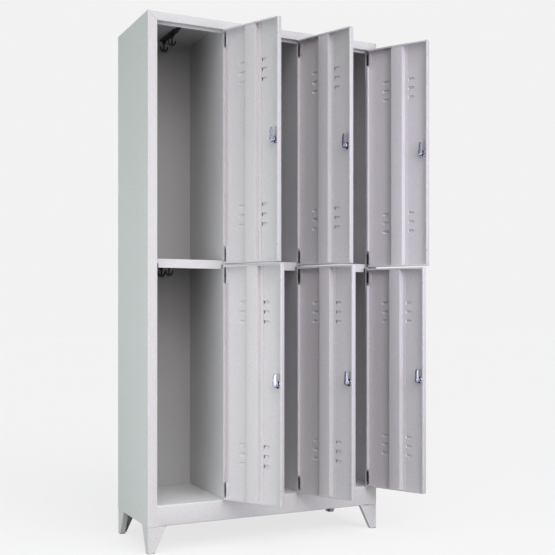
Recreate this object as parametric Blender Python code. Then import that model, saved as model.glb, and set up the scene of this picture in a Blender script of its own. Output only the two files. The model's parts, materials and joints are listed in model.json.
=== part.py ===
# Six-door steel locker: a folded sheet cabinet in three columns and two tiers, on four pressed feet.
# Metres, +Z up. The doors open towards -Y and stand open at rest. The origin is the middle of the
# front left foot's sole.

import math

import bmesh
import bpy
from mathutils import Vector

# Cabinet
WIDTH = 0.900
DEPTH = 0.350
HEIGHT = 1.830
LEG = 0.090
COLUMNS = 3
SHEET = 0.0010
GAP = 0.0003
OVERRUN = 0.0020

# Front frame
STILE = 0.034
POST = 0.040
RAIL = 0.030
PLINTH = 0.070
PLINTH_RETURN = 0.015
RABBET = 0.0185
STOP = 0.003
TOP_STOP = 0.008

# Flanges and shelves
BACK_FLANGE = 0.016
TRAY_FLANGE = 0.015
SHELF_LIP = 0.030
SHELF_LIP_INSET = 0.010
SHELF_LEAD = 0.016

# Feet
FOOT_SHEET = 0.0015
SOLE = 0.025
TOE_TOP = 0.066
SOLE_CORNER = 0.004
FOOT_LIP = 0.018
FOOT_SEAM = 0.0010
FOOT_TAB = 0.030
FOOT_TAB_INSET = 0.006

# Doors
DOOR_THICK = 0.018
DOOR_GAP = 0.0020
DOOR_END_GAP = 0.0025
DOOR_MID_GAP = 0.006
DOOR_LIP = 0.005
OPEN_DEG_UPPER = (115.5, 111.0, 121.0)
OPEN_DEG_LOWER = (119.5, 114.0, 115.0)

# Louvres
LOUVRE_LONG = 0.026
LOUVRE_HIGH = 0.014
LOUVRE_RISE = 0.005
LOUVRE_STEP = 0.033
LOUVRE_ROWS = 3
LOUVRE_OFF_CENTRE = 0.0395
LOUVRE_GROUP_Z = 0.245

# Door stiffener
HAT_FLAT = 0.046
HAT_BASE = 0.053
HAT_FOOT = 0.012
HAT_DEPTH = 0.0155

# Hinges
KNUCKLE_R = 0.0030
PIN_R = 0.0015
EYE_BORE_R = 0.0020
KNUCKLE_HALF = 0.0080
EYE_HALF_GAP = 0.0005
EYE_LONG = 0.013
LEAF_THICK = 0.0015
LEAF_WIDE = 0.012
LEAF_HALF = 0.020
HINGE_NOTCH_WIDE = 0.0035
HINGE_NOTCH_DEEP = 0.0040
DOOR_NOTCH = 0.0045
HINGE_INSET = 0.032
HINGE_CUT_HALF = 0.030
DOOR_LEAF_WIDE = 0.013
HINGE_SIDES = 8
PIN_SIDES = 6

# Locks
LOCK_FROM_EDGE = 0.026
COLLAR_R = 0.011
COLLAR_THICK = 0.003
BARREL_R = 0.009
BARREL_BORE_R = 0.0070
PLUG_R = 0.0065
LOCK_HOLE_R = 0.0094
NUT_R = 0.0130
NUT_THICK = 0.005
BARREL_PROUD = 0.0015
CAM_CLEAR = 0.0010
CAM_THICK = 0.0020
CAM_REACH = 0.040
CAM_HALF_WIDE = 0.006
CAM_NUT_R = 0.0055
CAM_NUT_THICK = 0.003
KEYWAY_LONG = 0.008
KEYWAY_WIDE = 0.0014
KEYWAY_DEEP = 0.004
LOCK_SIDES = 12

# Hook rails
RAIL_LONG = 0.190
RAIL_HALF_WIDE = 0.006
RAIL_BASE_LONG = 0.145
RAIL_BASE_HALF_WIDE = 0.011
RAIL_THICK = 0.007
RAIL_TO_BACK_UPPER = 0.040
RAIL_TO_BACK_LOWER = 0.010
HOOK_FROM_END = 0.014
HOOK_SPACING = 0.088
HOOK_DROP = 0.034
HOOK_OUTER_R = 0.015
HOOK_ARM = 0.0045
HOOK_STEM_HALF = 0.0025
HOOK_TIP_RISE = 0.005
HOOK_THICK = 0.006
HOOK_ARC_STEPS = 8
CROOK_ARC_STEPS = 5

# Places worked out from the sizes above
LEFT = -(SOLE / 2 + SHEET + GAP)
RIGHT = LEFT + WIDTH
FRONT = -(SOLE / 2 + SHEET + GAP)
BACK = FRONT + DEPTH
INNER_BACK = BACK - 2 * (SHEET + GAP)
STOP_FRONT = FRONT + RABBET
STOP_BACK = STOP_FRONT + SHEET
OPEN_BOTTOM = LEG + PLINTH
OPEN_TOP = HEIGHT - RAIL
OPENING = (WIDTH - 2 * STILE - (COLUMNS - 1) * POST) / COLUMNS
COLUMN_STEP = OPENING + POST
HINGE_EDGES = [LEFT + STILE + OPENING + column * COLUMN_STEP for column in range(COLUMNS)]
AXIS_INSET = DOOR_GAP / 2
DOOR_WIDE = OPENING - 2 * DOOR_GAP
DOOR_HIGH = (OPEN_TOP - OPEN_BOTTOM - 2 * DOOR_END_GAP - DOOR_MID_GAP) / 2
UPPER_DOOR_Z = OPEN_TOP - DOOR_END_GAP - DOOR_HIGH / 2
LOWER_DOOR_Z = OPEN_BOTTOM + DOOR_END_GAP + DOOR_HIGH / 2
MIDDLE_Z = (UPPER_DOOR_Z + LOWER_DOOR_Z) / 2
SHELF_TOP = MIDDLE_Z + SHELF_LEAD
HINGE_Z = DOOR_HIGH / 2 - HINGE_INSET
EYE_START = KNUCKLE_HALF + EYE_HALF_GAP
EYE_END = EYE_START + EYE_LONG
DOOR_NEAR = -AXIS_INSET
DOOR_FAR = DOOR_NEAR - DOOR_WIDE
DOOR_CENTRE = (DOOR_NEAR + DOOR_FAR) / 2
LOCK_X = DOOR_FAR + LOCK_FROM_EDGE
BARREL_END = DOOR_THICK + BARREL_PROUD
CAM_FRONT = BARREL_END + CAM_CLEAR


def clear_scene():
    for thing in list(bpy.data.objects):
        bpy.data.objects.remove(thing, do_unlink=True)


def make_material(name, colour, roughness, metallic):
    material = bpy.data.materials.new(name)
    material.use_nodes = True
    shader = material.node_tree.nodes["Principled BSDF"]
    shader.inputs["Base Color"].default_value = (*colour, 1.0)
    shader.inputs["Roughness"].default_value = roughness
    shader.inputs["Metallic"].default_value = metallic
    return material


def add_object(name, mesh, material=None, parent=None, location=(0, 0, 0)):
    thing = bpy.data.objects.new(name, mesh)
    bpy.context.scene.collection.objects.link(thing)
    thing.parent = parent
    thing.location = location
    if material and not mesh.materials:
        mesh.materials.append(material)
    return thing


# Solids
PLANES = {
    "X": lambda a, b, along: (along, a, b),
    "Y": lambda a, b, along: (a, along, b),
    "Z": lambda a, b, along: (a, b, along),
}


def prism(outline, low, high, axis):
    """A flat outline drawn out along one axis, from low to high."""
    form = bmesh.new()
    place = PLANES[axis]
    ring = [form.verts.new(place(a, b, low)) for a, b in outline]
    cap = form.faces.new(ring)
    drawn = bmesh.ops.extrude_face_region(form, geom=[cap])
    raised = [item for item in drawn["geom"] if isinstance(item, bmesh.types.BMVert)]
    bmesh.ops.translate(form, vec=Vector(place(0, 0, high - low)), verts=raised)
    return facing_out(form)


def facing_out(form):
    bmesh.ops.recalc_face_normals(form, faces=form.faces)
    if form.calc_volume(signed=True) < 0:
        bmesh.ops.reverse_faces(form, faces=form.faces)
    return finish_mesh(form)


def finish_mesh(form):
    mesh = bpy.data.meshes.new("solid")
    form.to_mesh(mesh)
    form.free()
    return mesh


def box(low, high):
    outline = [(low[0], low[1]), (high[0], low[1]), (high[0], high[1]), (low[0], high[1])]
    return prism(outline, low[2], high[2], "Z")


def folded(path, thick):
    """The section of a folded strip: its outer line, then the line one sheet to its left, back again."""
    steps = [(Vector(b) - Vector(a)).normalized() for a, b in zip(path, path[1:])]
    lefts = [Vector((-step.y, step.x)) for step in steps]
    inner = []
    for index, point in enumerate(path):
        before = lefts[max(index - 1, 0)]
        after = lefts[min(index, len(lefts) - 1)]
        corner = (before + after) / (1 + before.dot(after))
        inner.append(tuple(Vector(point) + corner * thick))
    return list(path) + inner[::-1]


def ring_of(radius, sides, centre=(0, 0)):
    """A regular polygon with flats, not corners, at the sides."""
    turns = [2 * math.pi * (index + 0.5) / sides for index in range(sides)]
    return [(centre[0] + radius * math.cos(turn), centre[1] + radius * math.sin(turn)) for turn in turns]


def arc(centre, radius, start_deg, end_deg, steps):
    points = []
    for index in range(steps + 1):
        angle = math.radians(start_deg + (end_deg - start_deg) * index / steps)
        points.append((centre[0] + radius * math.cos(angle), centre[1] + radius * math.sin(angle)))
    return points


def hull_of(points):
    form = bmesh.new()
    for point in points:
        form.verts.new(point)
    bmesh.ops.convex_hull(form, input=form.verts)
    return facing_out(form)


def joined(meshes):
    """Several closed meshes in one, as one operand of a Boolean."""
    form = bmesh.new()
    for mesh in meshes:
        form.from_mesh(mesh)
    return finish_mesh(form)


def combine(mesh, other, operation):
    """The Boolean of two meshes, as a new mesh."""
    body = bpy.data.objects.new("body", mesh)
    tool = bpy.data.objects.new("tool", other)
    for thing in (body, tool):
        bpy.context.scene.collection.objects.link(thing)
    tool.hide_render = True
    tool.display_type = "WIRE"
    boolean = body.modifiers.new("Boolean", "BOOLEAN")
    boolean.object = tool
    boolean.operation = operation
    boolean.solver = "EXACT"
    depsgraph = bpy.context.evaluated_depsgraph_get()
    result = bpy.data.meshes.new_from_object(body.evaluated_get(depsgraph))
    for thing in (body, tool):
        bpy.data.objects.remove(thing, do_unlink=True)
    return result


def union(mesh, *others):
    for other in others:
        mesh = combine(mesh, other, "UNION")
    return mesh


def cut(mesh, *others):
    for other in others:
        mesh = combine(mesh, other, "DIFFERENCE")
    return mesh


# Sheet metal of the cabinet
def mirrored_x(mesh):
    """The same sheet for the other side of the cabinet."""
    form = bmesh.new()
    form.from_mesh(mesh)
    for vert in form.verts:
        vert.co.x = LEFT + RIGHT - vert.co.x
    return facing_out(form)


def mitre_line():
    """The seam of stile and top rail, from the cabinet's corner past the stop ledges."""
    start = Vector((LEFT + SHEET + GAP, HEIGHT))
    run = Vector((LEFT + STILE, OPEN_TOP)) - start
    return start - run / 2, start + run * 2


def mitre_cutter(above):
    """The space above the seam, or below it, through the thickness of the front frame."""
    high, low = mitre_line()
    lift = Vector((0, GAP if above else GAP * 2))
    shift = lift * (-1 if above else 1) / 2
    high = high + shift
    low = low + shift
    corner = (low.x, high.y) if above else (high.x, low.y)
    outline = [tuple(high), tuple(low), corner]
    return prism(outline, FRONT - OVERRUN, STOP_BACK + GAP, "Y")


def hinge_notches(edge_x):
    """Openings at a post's corner for the knuckles, two to a door."""
    notches = []
    for door_z in (UPPER_DOOR_Z, LOWER_DOOR_Z):
        for side in (-1, 1):
            middle = door_z + side * HINGE_Z
            low = (edge_x - OVERRUN, FRONT - OVERRUN, middle - EYE_END - EYE_HALF_GAP)
            high = (edge_x + HINGE_NOTCH_WIDE, FRONT + HINGE_NOTCH_DEEP, middle + EYE_END + EYE_HALF_GAP)
            notches.append(box(low, high))
    return joined(notches)


def side_sheet():
    """Left side: back flange, wall, stile face, rabbet return and stop ledge, folded from one sheet."""
    path = [
        (LEFT + BACK_FLANGE, BACK),
        (LEFT, BACK),
        (LEFT, FRONT),
        (LEFT + STILE, FRONT),
        (LEFT + STILE, STOP_FRONT),
        (LEFT + STILE + STOP, STOP_FRONT),
    ]
    sheet = prism(folded(path, SHEET), LEG, HEIGHT, "Z")
    ledge_foot = box(
        (LEFT + STILE, STOP_FRONT - OVERRUN, LEG - OVERRUN),
        (LEFT + STILE + STOP + OVERRUN, STOP_BACK + OVERRUN, OPEN_BOTTOM + GAP),
    )
    return cut(sheet, mitre_cutter(above=True), ledge_foot)


def partition_sheet(edge_x):
    """Dividing wall and front post in one sheet, its wall in line with the post's stop ledge."""
    path = [
        (edge_x - STOP, INNER_BACK - SHEET - GAP),
        (edge_x - STOP, STOP_FRONT),
        (edge_x, STOP_FRONT),
        (edge_x, FRONT),
        (edge_x + POST, FRONT),
        (edge_x + POST, STOP_FRONT),
        (edge_x + POST + STOP, STOP_FRONT),
    ]
    sheet = prism(folded(path, SHEET), OPEN_BOTTOM + GAP, HEIGHT - SHEET - GAP, "Z")
    left = edge_x - STOP - OVERRUN
    right = edge_x + POST + STOP + OVERRUN
    under_rail = box((left, FRONT - OVERRUN, OPEN_TOP - GAP), (right, STOP_BACK + GAP, HEIGHT))
    under_lip = box((left, STOP_FRONT - GAP, OPEN_TOP - TOP_STOP - GAP), (right, STOP_BACK + GAP, HEIGHT))
    return cut(sheet, under_rail, under_lip, hinge_notches(edge_x))


def tray(low, high):
    """An open-bottomed tray: a flat sheet at the top with a flange turned down on all four sides."""
    outer = box(low, high)
    inner = box(
        (low[0] + SHEET, low[1] + SHEET, low[2] - OVERRUN),
        (high[0] - SHEET, high[1] - SHEET, high[2] - SHEET),
    )
    return cut(outer, inner)


def top_sheet():
    """Top, front rail, rabbet return and stop lip in one fold, with side and back flanges inside."""
    left = LEFT + SHEET + GAP
    right = RIGHT - SHEET - GAP
    path = [
        (INNER_BACK, HEIGHT),
        (FRONT, HEIGHT),
        (FRONT, OPEN_TOP),
        (STOP_FRONT, OPEN_TOP),
        (STOP_FRONT, OPEN_TOP - TOP_STOP),
    ]
    sheet = prism(folded(path, SHEET), left, right, "X")
    flanges = tray((left, STOP_BACK + GAP, HEIGHT - TRAY_FLANGE), (right, INNER_BACK, HEIGHT))
    opened = box(
        (left + SHEET, STOP_BACK, HEIGHT - TRAY_FLANGE - OVERRUN),
        (right - SHEET, STOP_BACK + GAP + SHEET + OVERRUN, HEIGHT - SHEET),
    )
    sheet = union(sheet, cut(flanges, opened))
    corner = mitre_cutter(above=False)
    return cut(sheet, corner, mirrored_x(corner))


def base_sheet():
    """Floor and plinth in one fold between the stiles, the floor running on behind them."""
    path = [
        (INNER_BACK, OPEN_BOTTOM - TRAY_FLANGE),
        (INNER_BACK, OPEN_BOTTOM),
        (FRONT, OPEN_BOTTOM),
        (FRONT, LEG),
        (FRONT + PLINTH_RETURN, LEG),
    ]
    sheet = prism(folded(path, SHEET), LEFT + STILE + GAP, RIGHT - STILE - GAP, "X")
    left = LEFT + SHEET + GAP
    right = RIGHT - SHEET - GAP
    floor = tray((left, STOP_BACK + GAP, OPEN_BOTTOM - TRAY_FLANGE), (right, INNER_BACK, OPEN_BOTTOM))
    return union(sheet, floor)


def back_sheet():
    """Plain back, held between the side panels' flanges and the flanges of the trays."""
    low = (LEFT + SHEET + GAP, BACK - 2 * SHEET - GAP, LEG)
    high = (RIGHT - SHEET - GAP, BACK - SHEET - GAP, HEIGHT)
    return box(low, high)


def column_walls(column):
    """The inner faces of the walls left and right of a column."""
    left = LEFT + SHEET if column == 0 else HINGE_EDGES[column - 1] - STOP + SHEET
    right = RIGHT - SHEET if column == COLUMNS - 1 else HINGE_EDGES[column] - STOP
    return left, right


def shelf_sheet(column):
    """Shelf tray between the walls, with a deep lip in the door opening."""
    left, right = column_walls(column)
    front = STOP_BACK + GAP
    shelf = tray((left + GAP, front, SHELF_TOP - TRAY_FLANGE), (right - GAP, INNER_BACK, SHELF_TOP))
    lip_left = HINGE_EDGES[column] - OPENING + SHELF_LIP_INSET
    lip_right = HINGE_EDGES[column] - SHELF_LIP_INSET
    lip = box((lip_left, front, SHELF_TOP - SHELF_LIP), (lip_right, front + SHEET, SHELF_TOP))
    return union(shelf, lip)


# Feet
def foot_toe():
    toe = [(0, 0), (SOLE - SOLE_CORNER, 0)]
    return toe + arc((SOLE - SOLE_CORNER, SOLE_CORNER), SOLE_CORNER, -90, 0, 3)[1:]


def foot_front_outline():
    """The front flange: straight outer edge, tapered inner edge, rounded toe."""
    top = LEG - FOOT_SEAM
    return foot_toe() + [(TOE_TOP, top), (0, top)]


def foot_side_outline():
    """The side flange, with the tab that is welded behind the side panel."""
    top = LEG - GAP
    tab_top = LEG + FOOT_TAB
    tab = [(TOE_TOP, tab_top), (FOOT_TAB_INSET, tab_top), (FOOT_TAB_INSET, top)]
    return foot_toe() + [(TOE_TOP, top), *tab, (0, top)]


def foot_lip_outline():
    """The section of the lip that stiffens a flange's tapered edge."""
    top = LEG - FOOT_SEAM
    return [(SOLE - FOOT_SHEET, SOLE_CORNER), (SOLE, SOLE_CORNER), (TOE_TOP, top), (TOE_TOP - FOOT_SHEET, top)]


def foot_form():
    """Two tapered flanges at a right angle, their lips, and a sole turned in between them."""
    front = prism(foot_front_outline(), 0, FOOT_SHEET, "Y")
    side = prism(foot_side_outline(), 0, FOOT_SHEET, "X")
    front_lip = prism(foot_lip_outline(), FOOT_SHEET / 2, FOOT_LIP, "Y")
    side_lip = prism(foot_lip_outline(), FOOT_SHEET / 2, FOOT_LIP, "X")
    reach = SOLE - SOLE_CORNER
    sole = box((0, 0, 0), (reach, reach, FOOT_SHEET))
    return union(front, side, front_lip, side_lip, sole)


def placed_foot(form_mesh, from_right, from_back):
    form = bmesh.new()
    form.from_mesh(form_mesh)
    for vert in form.verts:
        inset = SHEET + GAP
        vert.co.x = RIGHT - inset - vert.co.x if from_right else LEFT + inset + vert.co.x
        vert.co.y = BACK - inset - vert.co.y if from_back else FRONT + inset + vert.co.y
    return facing_out(form)


# Doors, in each door's own frame: the hinge axis at 0, the free edge towards -X when closed,
# the outer face at Y 0 and the inner side towards +Y, and Z from the door's middle.
def louvre_hull(side, middle_z, low_y, high_y, start, inset):
    """A scoop that is open towards the stiffener and slopes down to a narrow far end."""
    half = LOUVRE_HIGH / 2 - inset
    long = LOUVRE_LONG - inset
    rise = high_y - low_y
    stations = [
        (start, half, half * 0.80, rise),
        (long * 0.68, half, half * 0.62, rise * 0.80),
        (long, half * 0.45, 0, 0),
    ]
    points = []
    for along, base_half, top_half, lift in stations:
        x = DOOR_CENTRE + side * (LOUVRE_OFF_CENTRE + along)
        for sign in (-1, 1):
            points.append((x, low_y, middle_z + sign * base_half))
            if lift:
                points.append((x, low_y + lift, middle_z + sign * top_half))
    return hull_of(points)


def louvre_places():
    for side in (-1, 1):
        for group in (-1, 1):
            for row in range(LOUVRE_ROWS):
                yield side, group * LOUVRE_GROUP_Z + (row - (LOUVRE_ROWS - 1) / 2) * LOUVRE_STEP


def door_pan():
    """The door's sheet: outer face, four flanges and their inner lips."""
    half = DOOR_HIGH / 2
    pan = box((DOOR_FAR, 0, -half), (DOOR_NEAR, DOOR_THICK, half))
    inside = box(
        (DOOR_FAR + SHEET, SHEET, -half + SHEET),
        (DOOR_NEAR - SHEET, DOOR_THICK - SHEET, half - SHEET),
    )
    rim = SHEET + DOOR_LIP
    mouth = box(
        (DOOR_FAR + rim, DOOR_THICK - SHEET - OVERRUN, -half + rim),
        (DOOR_NEAR - rim, DOOR_THICK + OVERRUN, half - rim),
    )
    return cut(pan, inside, mouth)


def with_louvres(pan):
    """Twelve scoops pressed outwards, each slit at its end by the stiffener."""
    places = list(louvre_places())
    scoops = joined([louvre_hull(side, z, SHEET / 2, -LOUVRE_RISE, 0, 0) for side, z in places])
    floor = SHEET - LOUVRE_RISE
    hollows = joined([louvre_hull(side, z, SHEET + OVERRUN, floor, -GAP, SHEET) for side, z in places])
    return cut(union(pan, scoops), hollows)


def with_hinge_eyes(pan):
    """At each hinge the flange is cut away, and a leaf with a rolled eye is welded to the sheet. The
    eye is bored for the pin and slotted in the middle for the knuckle."""
    for side in (-1, 1):
        middle = side * HINGE_Z
        flange = box(
            (DOOR_NEAR - SHEET - DOOR_LIP, SHEET, middle - HINGE_CUT_HALF),
            (DOOR_NEAR + OVERRUN, DOOR_THICK + OVERRUN, middle + HINGE_CUT_HALF),
        )
        leaf = box(
            (DOOR_NEAR - DOOR_LEAF_WIDE, SHEET / 2, middle - EYE_END + SHEET),
            (-PIN_R, SHEET + LEAF_THICK, middle + EYE_END - SHEET),
        )
        pan = union(cut(pan, flange), leaf)
        eye = prism(ring_of(KNUCKLE_R, HINGE_SIDES), middle - EYE_END, middle + EYE_END, "Z")
        bore_half = EYE_END + GAP
        bore = prism(ring_of(EYE_BORE_R, PIN_SIDES), middle - bore_half, middle + bore_half, "Z")
        reach = KNUCKLE_R + OVERRUN
        slot = box((-DOOR_NOTCH, -reach, middle - EYE_START), (reach, DOOR_NOTCH, middle + EYE_START))
        pan = cut(union(pan, eye), bore, slot)
    return pan


def door_form():
    pan = with_hinge_eyes(with_louvres(door_pan()))
    lock_hole = prism(ring_of(LOCK_HOLE_R, LOCK_SIDES, (LOCK_X, 0)), -OVERRUN, SHEET + OVERRUN, "Y")
    return cut(pan, lock_hole)


def stiffener_form():
    """Hat section up the middle of the door, welded by its two feet to the inner face."""
    floor = SHEET + GAP
    top = floor + HAT_DEPTH
    path = [
        (DOOR_CENTRE - HAT_BASE / 2 - HAT_FOOT, floor + SHEET),
        (DOOR_CENTRE - HAT_BASE / 2, floor + SHEET),
        (DOOR_CENTRE - HAT_FLAT / 2, top),
        (DOOR_CENTRE + HAT_FLAT / 2, top),
        (DOOR_CENTRE + HAT_BASE / 2, floor + SHEET),
        (DOOR_CENTRE + HAT_BASE / 2 + HAT_FOOT, floor + SHEET),
    ]
    half = DOOR_HIGH / 2 - SHEET - GAP
    return prism(folded(path[::-1], SHEET), -half, half, "Z")


def hinge_form():
    """Leaf inside the post, a neck through the notch, the knuckle and the pin that the eyes turn on."""
    near = AXIS_INSET + SHEET + GAP
    neck_half = KNUCKLE_HALF - SHEET
    leaf_end = HINGE_NOTCH_DEEP + LEAF_WIDE
    outline = [
        (-PIN_R, -neck_half),
        (HINGE_NOTCH_DEEP, -neck_half),
        (HINGE_NOTCH_DEEP, -LEAF_HALF),
        (leaf_end, -LEAF_HALF),
        (leaf_end, LEAF_HALF),
        (HINGE_NOTCH_DEEP, LEAF_HALF),
        (HINGE_NOTCH_DEEP, neck_half),
        (-PIN_R, neck_half),
    ]
    leaf = prism(outline, near, near + LEAF_THICK, "X")
    knuckle = prism(ring_of(KNUCKLE_R, HINGE_SIDES), -KNUCKLE_HALF, KNUCKLE_HALF, "Z")
    pin_half = EYE_END - EYE_HALF_GAP
    pin = prism(ring_of(PIN_R, PIN_SIDES), -pin_half, pin_half, "Z")
    return union(leaf, knuckle, pin)


def lock_body_form():
    """Collar outside, threaded barrel through the sheet, and the nut that clamps it."""
    centre = (LOCK_X, 0)
    collar = prism(ring_of(COLLAR_R, LOCK_SIDES, centre), -GAP - COLLAR_THICK, -GAP, "Y")
    barrel = prism(ring_of(BARREL_R, LOCK_SIDES, centre), -GAP - COLLAR_THICK / 2, BARREL_END, "Y")
    nut = prism(ring_of(NUT_R, 6, centre), SHEET + GAP, SHEET + GAP + NUT_THICK, "Y")
    bore = prism(ring_of(BARREL_BORE_R, LOCK_SIDES, centre), -COLLAR_THICK * 2, BARREL_END + OVERRUN, "Y")
    return cut(union(collar, barrel, nut), bore)


def cam_outline():
    """A flat bar with round ends, one end round the plug and the other at full reach, pointing up."""
    tip_z = CAM_REACH - CAM_HALF_WIDE
    tip = arc((LOCK_X, tip_z), CAM_HALF_WIDE, 0, 180, 6)
    root = arc((LOCK_X, 0), PLUG_R + SHEET, 180, 360, 8)
    return tip + root


def lock_cam_form():
    """Plug with its keyway, the cam on its end and the small nut that holds the cam."""
    centre = (LOCK_X, 0)
    face = -GAP - COLLAR_THICK
    plug = prism(ring_of(PLUG_R, LOCK_SIDES, centre), face, CAM_FRONT + CAM_THICK / 2, "Y")
    cam = prism(cam_outline(), CAM_FRONT, CAM_FRONT + CAM_THICK, "Y")
    nut_top = CAM_FRONT + CAM_THICK + CAM_NUT_THICK
    nut = prism(ring_of(CAM_NUT_R, 6, centre), CAM_FRONT + CAM_THICK / 2, nut_top, "Y")
    keyway = box(
        (LOCK_X - KEYWAY_WIDE / 2, face - OVERRUN, -KEYWAY_LONG / 2),
        (LOCK_X + KEYWAY_WIDE / 2, face + KEYWAY_DEEP, KEYWAY_LONG / 2),
    )
    return cut(union(plug, cam, nut), keyway)


# Hook rails
def hook_outline():
    """A double hook seen from the front: a stem with an arm curling up on each side."""
    middle = -HOOK_DROP
    tip = middle + HOOK_TIP_RISE
    inner = HOOK_OUTER_R - HOOK_ARM
    crook_r = (inner - HOOK_STEM_HALF) / 2
    crook_x = HOOK_STEM_HALF + crook_r
    top = -RAIL_THICK / 2
    points = [(-HOOK_OUTER_R, tip)]
    points += arc((0, middle), HOOK_OUTER_R, 180, 360, HOOK_ARC_STEPS)
    points += [(HOOK_OUTER_R, tip), (inner, tip)]
    points += arc((crook_x, middle), crook_r, 0, -180, CROOK_ARC_STEPS)
    points += [(HOOK_STEM_HALF, top), (-HOOK_STEM_HALF, top)]
    points += arc((-crook_x, middle), crook_r, 0, -180, CROOK_ARC_STEPS)
    points += [(-inner, tip)]
    return points


def hook_rail_form():
    """A bar that is wider round its two hooks, drawn from its rear end towards the front."""
    outline = [
        (-RAIL_BASE_HALF_WIDE, 0),
        (-RAIL_BASE_HALF_WIDE, -RAIL_BASE_LONG),
        (-RAIL_HALF_WIDE, -RAIL_BASE_LONG),
        (-RAIL_HALF_WIDE, -RAIL_LONG),
        (RAIL_HALF_WIDE, -RAIL_LONG),
        (RAIL_HALF_WIDE, -RAIL_BASE_LONG),
        (RAIL_BASE_HALF_WIDE, -RAIL_BASE_LONG),
        (RAIL_BASE_HALF_WIDE, 0),
    ]
    rail = prism(outline, -RAIL_THICK, 0, "Z")
    hooks = []
    for middle in (-HOOK_FROM_END, -HOOK_FROM_END - HOOK_SPACING):
        hooks.append(prism(hook_outline(), middle - HOOK_THICK / 2, middle + HOOK_THICK / 2, "Y"))
    return union(rail, joined(hooks))


def smooth_round(mesh):
    mesh.shade_smooth()
    mesh.set_sharp_from_angle(angle=math.radians(35))
    return mesh


# Assembly
def add_cabinet(paint):
    side = side_sheet()
    add_object("left_side", side, paint)
    add_object("right_side", cut(mirrored_x(side), hinge_notches(HINGE_EDGES[-1])), paint)
    add_object("top_panel", top_sheet(), paint)
    add_object("base_pan", base_sheet(), paint)
    add_object("back_panel", back_sheet(), paint)
    for column in range(COLUMNS - 1):
        add_object(f"partition_{column + 1}", partition_sheet(HINGE_EDGES[column]), paint)
    for column in range(COLUMNS):
        add_object(f"shelf_{column + 1}", shelf_sheet(column), paint)


def add_feet(paint):
    form = foot_form()
    for end, from_back in (("front", False), ("rear", True)):
        for side, from_right in (("left", False), ("right", True)):
            add_object(f"foot_{end}_{side}", placed_foot(form, from_right, from_back), paint)


def add_hook_rails(plastic):
    form = smooth_round(hook_rail_form())
    tiers = (("upper", HEIGHT, RAIL_TO_BACK_UPPER), ("lower", SHELF_TOP, RAIL_TO_BACK_LOWER))
    for tier, ceiling_top, to_back in tiers:
        for column in range(COLUMNS):
            middle_x = HINGE_EDGES[column] - OPENING / 2
            place = (middle_x, BACK - to_back, ceiling_top - SHEET - GAP)
            add_object(f"hook_rail_{tier}_{column + 1}", form, plastic, None, place)


def add_doors(paint, zinc, chrome):
    pan = door_form()
    stiffener = stiffener_form()
    body = smooth_round(lock_body_form())
    cam = smooth_round(lock_cam_form())
    hinge = smooth_round(hinge_form())
    tiers = (("upper", UPPER_DOOR_Z, OPEN_DEG_UPPER), ("lower", LOWER_DOOR_Z, OPEN_DEG_LOWER))
    for tier, middle_z, angles in tiers:
        for column in range(COLUMNS):
            label = f"{tier}_{column + 1}"
            place = (HINGE_EDGES[column] - AXIS_INSET, FRONT, middle_z)
            axis = bpy.data.objects.new(f"axis_{label}", None)
            bpy.context.scene.collection.objects.link(axis)
            axis.location = place
            axis.rotation_euler.z = math.radians(angles[column])
            add_object(f"door_{label}", pan, paint, axis)
            add_object(f"stiffener_{label}", stiffener, paint, axis)
            add_object(f"lock_body_{label}", body, chrome, axis)
            add_object(f"lock_cam_{label}", cam, chrome, axis)
            for level, side in (("top", 1), ("bottom", -1)):
                hinge_place = (place[0], place[1], middle_z + side * HINGE_Z)
                add_object(f"hinge_{label}_{level}", hinge, zinc, None, hinge_place)


def build():
    clear_scene()
    paint = make_material("light grey powder coat", (0.62, 0.63, 0.64), 0.45, 0.0)
    zinc = make_material("zinc plated steel", (0.36, 0.36, 0.38), 0.35, 1.0)
    chrome = make_material("chrome plate", (0.80, 0.81, 0.83), 0.12, 1.0)
    plastic = make_material("black plastic", (0.02, 0.02, 0.022), 0.5, 0.0)
    add_cabinet(paint)
    add_feet(paint)
    add_hook_rails(plastic)
    add_doors(paint, zinc, chrome)


build()
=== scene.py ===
import json
import math

import bmesh
import bpy
from mathutils import Matrix, Vector

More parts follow.
